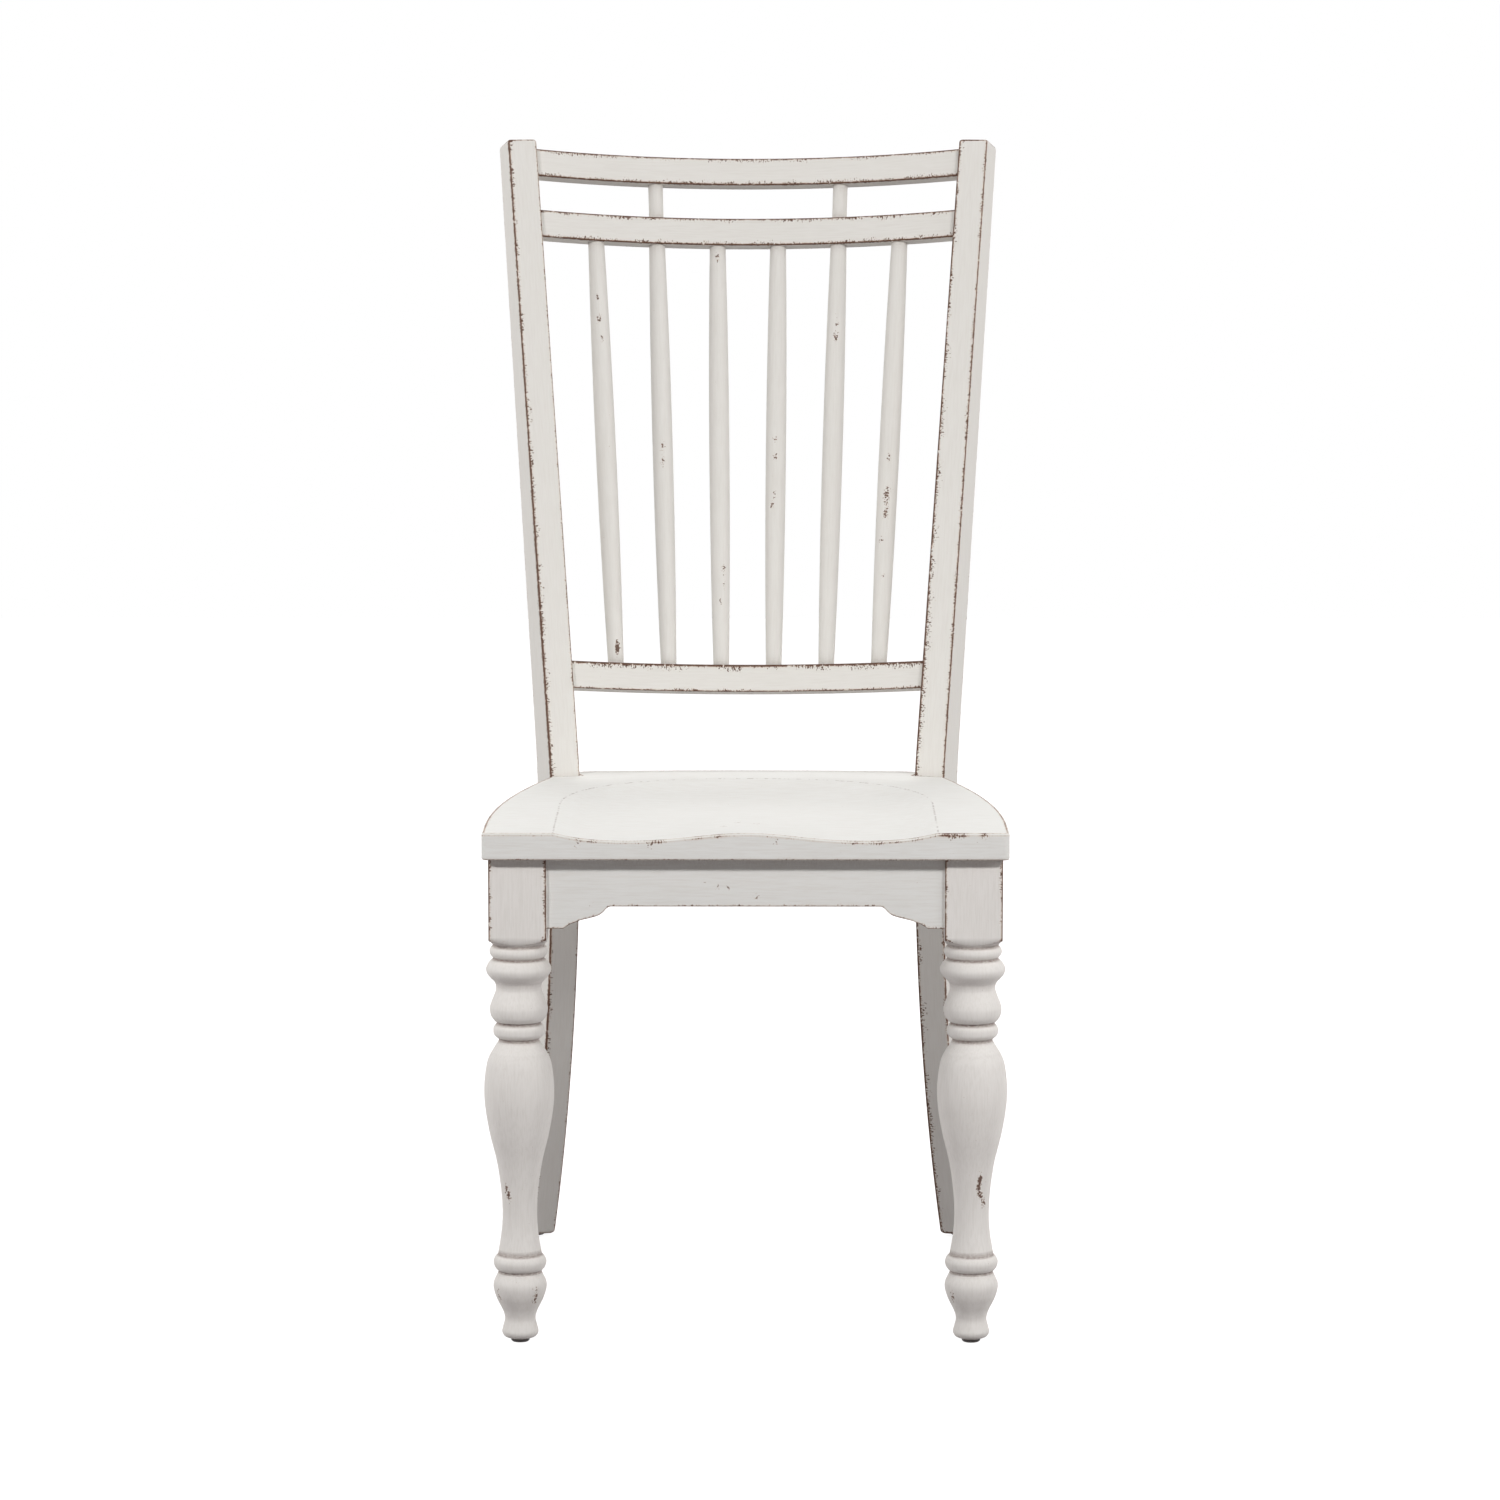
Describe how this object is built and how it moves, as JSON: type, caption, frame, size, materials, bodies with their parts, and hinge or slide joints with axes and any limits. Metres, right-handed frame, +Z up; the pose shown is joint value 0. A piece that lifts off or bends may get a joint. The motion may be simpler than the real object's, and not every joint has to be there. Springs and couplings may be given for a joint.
{
  "type": "spindle back chair",
  "caption": "Armless wooden dining chair with turned front legs, a bowed open back of turned spindles and rails, and a scooped seat, in worn white paint.",
  "frame": {"origin": "on the floor at the middle of the chair's overall footprint", "axes": "+Z up, -Y the way the sitter faces, +X to the right as seen from the front"},
  "size_m": [0.4926, 0.6144, 1.0956],
  "materials": {
    "painted_wood": "white paint over reddish brown stain, rubbed through at the edges",
    "bare_wood": "bare sawn hardwood",
    "glide_plastic": "moulded, dark brown",
    "screw_steel": "zinc plated"
  },
  "bodies": {
    "root": {"corner_block_front_left": "bare_wood", "corner_block_front_right": "bare_wood", "corner_block_rear_left": "bare_wood", "corner_block_rear_right": "bare_wood", "corner_block_screws": "screw_steel", "foot_glide_front_left": "glide_plastic", "foot_glide_front_right": "glide_plastic", "foot_glide_rear_left": "glide_plastic", "foot_glide_rear_right": "glide_plastic", "front_apron": "painted_wood", "front_leg_left": "painted_wood", "front_leg_right": "painted_wood", "lower_rail": "painted_wood", "mid_rail": "painted_wood", "rear_apron": "painted_wood", "rear_post_left": "painted_wood", "rear_post_right": "painted_wood", "seat": "painted_wood", "seat_screws": "screw_steel", "side_apron_left": "painted_wood", "side_apron_right": "painted_wood", "spindle_1": "painted_wood", "spindle_2": "painted_wood", "spindle_3": "painted_wood", "spindle_4": "painted_wood", "spindle_5": "painted_wood", "spindle_6": "painted_wood", "top_rail": "painted_wood"}
  },
  "joints": []
}
